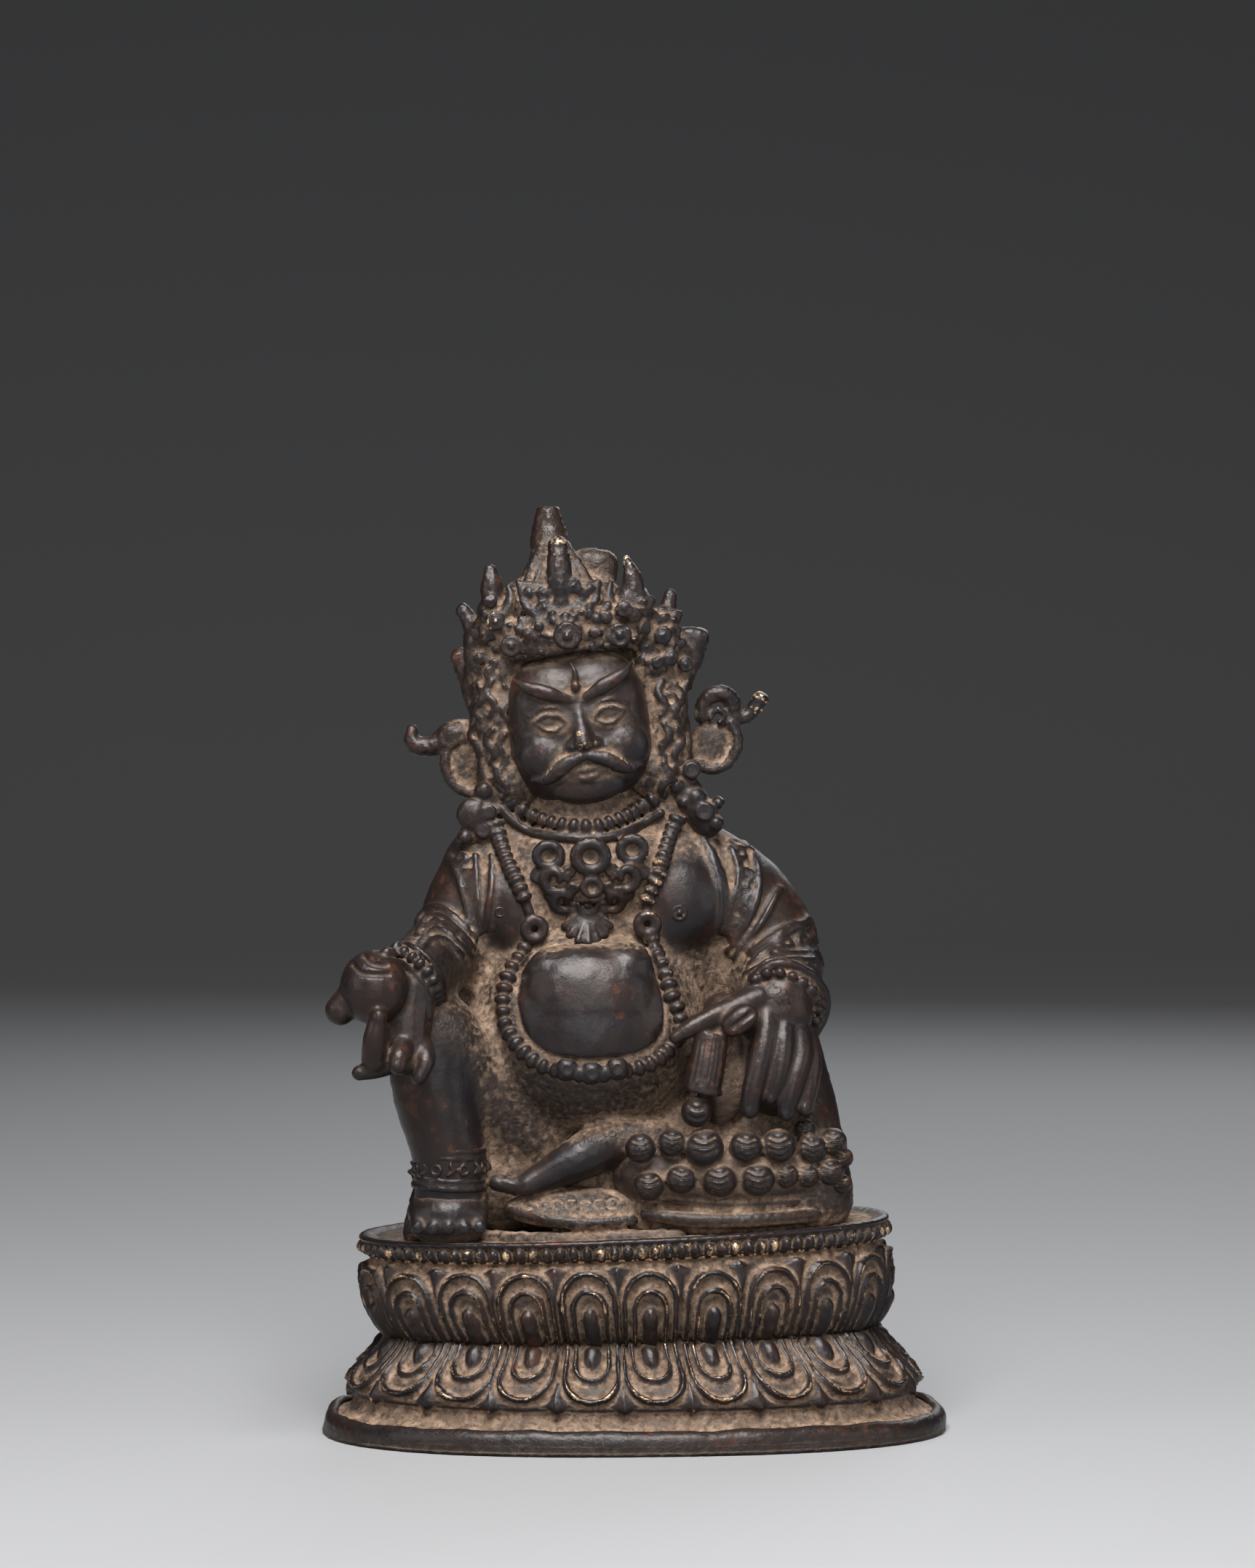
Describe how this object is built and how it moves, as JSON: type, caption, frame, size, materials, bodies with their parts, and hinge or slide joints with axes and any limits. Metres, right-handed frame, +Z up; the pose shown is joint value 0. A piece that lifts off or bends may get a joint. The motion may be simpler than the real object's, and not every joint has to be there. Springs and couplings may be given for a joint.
{
  "type": "jambhala statue",
  "caption": "Small cast bronze statue of Jambhala seated on an oval double-lotus throne, with a citron and a mongoose, closed below by a crimped copper base plate.",
  "frame": {"origin": "on the ground, at the middle of the base plate's underside", "axes": "+Z up, -Y the way the figure faces, +X to the right of someone who faces it"},
  "size_m": [0.1054, 0.068, 0.1549],
  "materials": {
    "bronze": "old cast bronze, blue-black polish on worn skin, tan dust in the hollows",
    "copper": "dark tarnished copper sheet, hammered edge with tan and green traces"
  },
  "bodies": {
    "root": {"statue": "bronze", "base_plate": "copper"}
  },
  "joints": []
}
